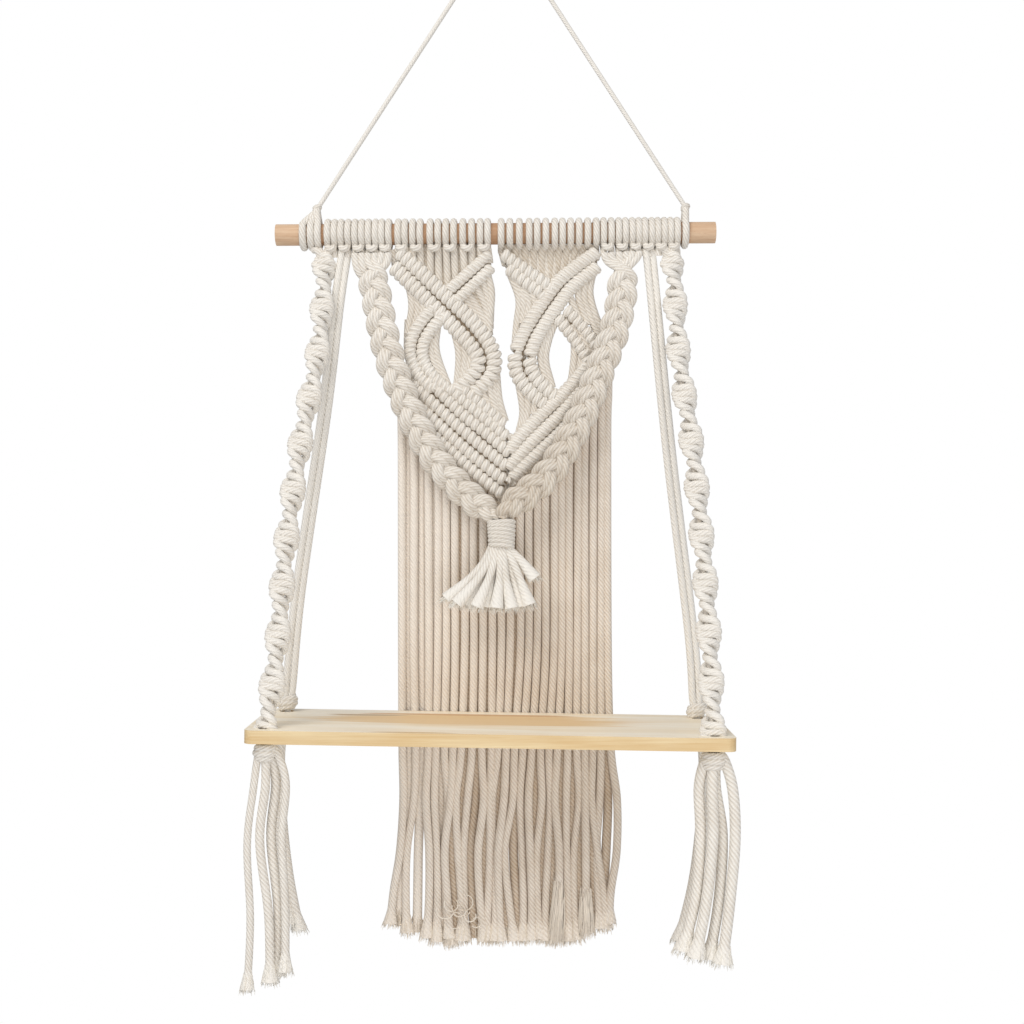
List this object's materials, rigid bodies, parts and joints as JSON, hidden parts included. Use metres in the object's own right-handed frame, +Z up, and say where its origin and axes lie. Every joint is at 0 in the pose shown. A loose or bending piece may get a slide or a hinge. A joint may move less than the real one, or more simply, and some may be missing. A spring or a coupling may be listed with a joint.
{
  "type": "macrame rope hanging shelf with its dowel and board",
  "caption": "Wall shelf of knotted cotton rope: a dowel on a taut cord carries a macrame panel and four side ropes with a pine board.",
  "frame": {"origin": "where the nail bears, inside the bend of the hanger cord", "axes": "+X to the viewer's right along the dowel, +Y towards the wall, +Z up"},
  "size_m": [0.4043, 0.1393, 0.9212],
  "materials": {
    "cotton_rope": "three-ply twisted, matte",
    "cotton_rope_shaded": "three-ply twisted, matte",
    "beech": "sanded, unvarnished",
    "pine": "planed, satin"
  },
  "bodies": {
    "root": {"dowel": "beech", "shelf_board": "pine", "hanger_cord": "cotton_rope", "hanger_tie_left": "cotton_rope", "hanger_tie_right": "cotton_rope", "macrame_panel": "cotton_rope", "plaits": "cotton_rope", "tassel": "cotton_rope", "curtain": "cotton_rope_shaded", "sinnet_left": "cotton_rope", "sinnet_right": "cotton_rope", "rear_rope_left": "cotton_rope", "rear_rope_right": "cotton_rope", "tail_front_left": "cotton_rope", "tail_front_right": "cotton_rope", "tail_rear_left": "cotton_rope", "tail_rear_right": "cotton_rope"}
  },
  "joints": []
}
